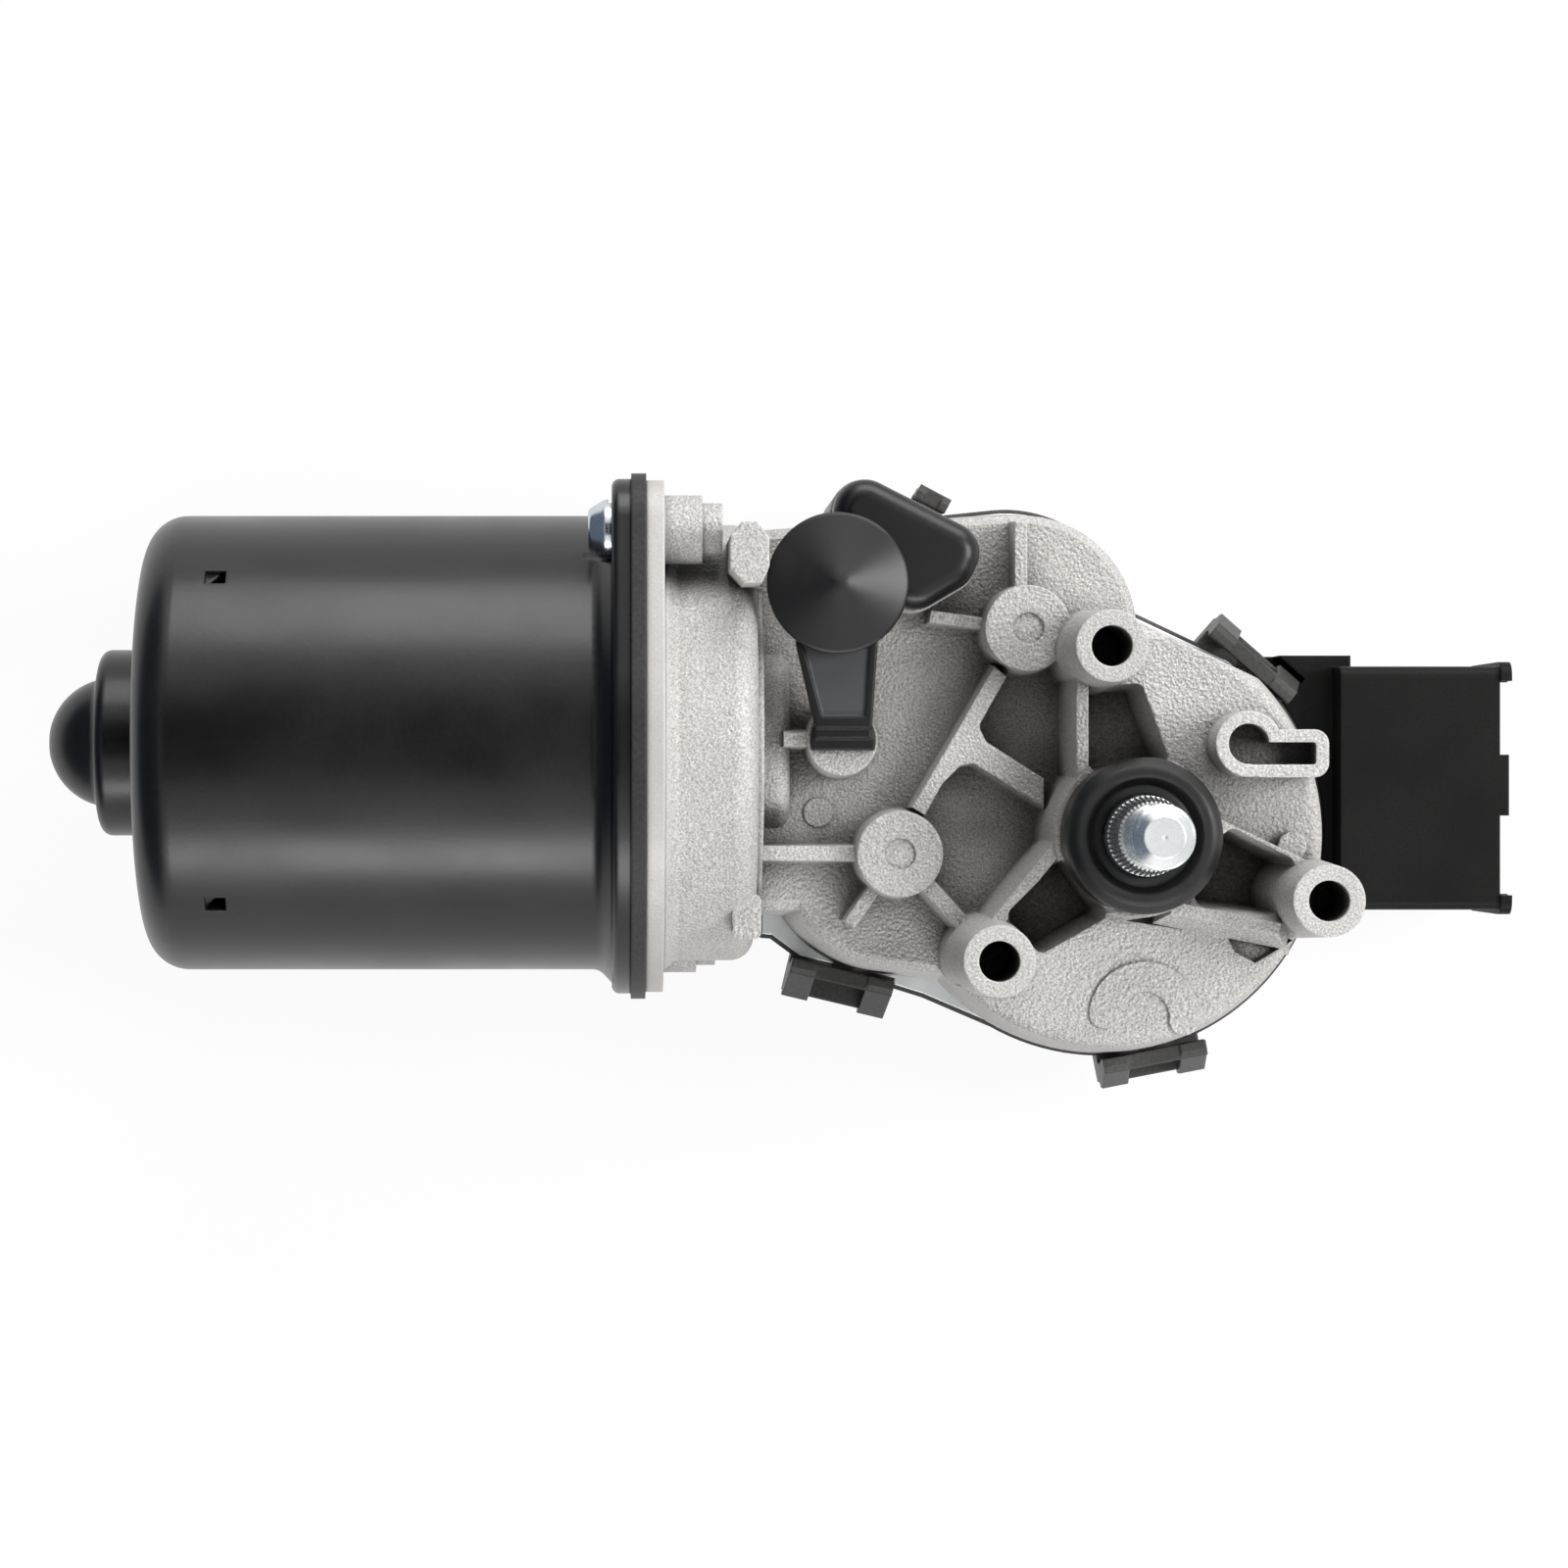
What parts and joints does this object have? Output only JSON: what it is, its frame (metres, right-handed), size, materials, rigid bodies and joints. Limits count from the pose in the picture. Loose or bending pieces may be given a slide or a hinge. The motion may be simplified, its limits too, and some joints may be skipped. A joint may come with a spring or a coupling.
{
  "type": "windscreen wiper motor",
  "caption": "Electric gear motor with a double worm reduction, cast gearbox with mounting bosses, splined output shaft and plug socket; turns a wiper crank.",
  "frame": {"origin": "centre of the mounting circle, on the plane of the boss tops", "axes": "+Z along the output shaft toward its threaded end, -X along the motor can, +X toward the connector mouth"},
  "size_m": [0.1952, 0.0818, 0.0869],
  "materials": {
    "can_paint": "satin black",
    "cast_aluminium": "as cast, fine grain",
    "black_rubber": "satin",
    "zinc_steel": "zinc plated",
    "bright_steel": "turned",
    "cover_steel": "pale plated sheet",
    "cover_plastic": "moulded, fine texture",
    "lamination_steel": "bare lamination",
    "winding_copper": "enamelled wire",
    "contact_copper": "bare copper alloy",
    "sintered_bronze": "sintered",
    "ferrite": "dull",
    "carbon": "dull",
    "gear_plastic": "natural acetal",
    "card_plastic": "moulded"
  },
  "bodies": {
    "motor": {"gear_housing": "cast_aluminium", "motor_can": "can_paint", "flange_gasket": "black_rubber", "can_screws": "zinc_steel", "rear_bush": "sintered_bronze", "thrust_ball": "bright_steel", "thrust_pad": "gear_plastic", "field_magnets": "ferrite", "bearing_outer_race": "bright_steel", "bearing_balls": "bright_steel", "bearing_retainer": "zinc_steel", "brush_card": "card_plastic", "brush_holders": "contact_copper", "choke_coils": "winding_copper", "idler_axles": "bright_steel", "thrust_washer": "bright_steel", "output_bush": "sintered_bronze", "shaft_o_ring": "black_rubber", "retaining_washer": "bright_steel", "shaft_seal": "black_rubber", "park_contacts": "contact_copper", "contact_carrier": "card_plastic", "cover_plate": "cover_steel", "back_cover": "cover_plastic", "connector_shroud": "cover_plastic", "connector_terminals": "contact_copper", "vent_cap": "black_rubber", "vent_boot": "black_rubber", "brush_spring_common": "bright_steel", "brush_spring_low_speed": "bright_steel", "brush_spring_high_speed": "bright_steel"},
    "armature": {"armature_shaft": "bright_steel", "armature_core": "lamination_steel", "armature_windings": "winding_copper", "commutator": "contact_copper", "bearing_inner_race": "bright_steel"},
    "idler_upper": {"worm_wheel_upper": "gear_plastic", "pinion_upper": "bright_steel"},
    "idler_lower": {"worm_wheel_lower": "gear_plastic", "pinion_lower": "bright_steel"},
    "output": {"output_gear": "gear_plastic", "output_shaft": "bright_steel", "retaining_clip": "bright_steel", "park_contact_plate": "contact_copper"},
    "brush_common": {"brush_common": "carbon"},
    "brush_low_speed": {"brush_low_speed": "carbon"},
    "brush_high_speed": {"brush_high_speed": "carbon"}
  },
  "joints": [
    {"name": "armature_spin", "type": "hinge", "parent": "motor", "child": "armature", "pos_m": [-0.09, 0.012, -0.036], "axis": [1, 0, 0], "continuous": true},
    {"name": "idler_upper_spin", "type": "hinge", "parent": "motor", "child": "idler_upper", "pos_m": [-0.01296, 0.0265, -0.036], "axis": [0, 0, 1], "continuous": true},
    {"name": "idler_lower_spin", "type": "hinge", "parent": "motor", "child": "idler_lower", "pos_m": [-0.02939, -0.0025, -0.036], "axis": [0, 0, 1], "continuous": true},
    {"name": "output_spin", "type": "hinge", "parent": "motor", "child": "output", "pos_m": [0, 0, 0], "axis": [0, 0, 1], "continuous": true},
    {"name": "brush_common_slide", "type": "slide", "parent": "motor", "child": "brush_common", "axis": [0, 1, 0], "range_m": [0, 0.0025], "stiffness_N_per_m": 300, "springref_m": -0.004, "deforming": ["brush_spring_common"]},
    {"name": "brush_low_speed_slide", "type": "slide", "parent": "motor", "child": "brush_low_speed", "axis": [0, -1, 0], "range_m": [0, 0.0025], "stiffness_N_per_m": 300, "springref_m": -0.004, "deforming": ["brush_spring_low_speed"]},
    {"name": "brush_high_speed_slide", "type": "slide", "parent": "motor", "child": "brush_high_speed", "axis": [0, -0.5, 0.866], "range_m": [0, 0.0025], "stiffness_N_per_m": 300, "springref_m": -0.004, "deforming": ["brush_spring_high_speed"]}
  ],
  "couplings": [
    {"joint": "idler_upper_spin", "follows": "armature_spin", "ratio": -0.0625},
    {"joint": "idler_lower_spin", "follows": "armature_spin", "ratio": -0.0625},
    {"joint": "output_spin", "follows": "armature_spin", "ratio": 0.014323}
  ]
}
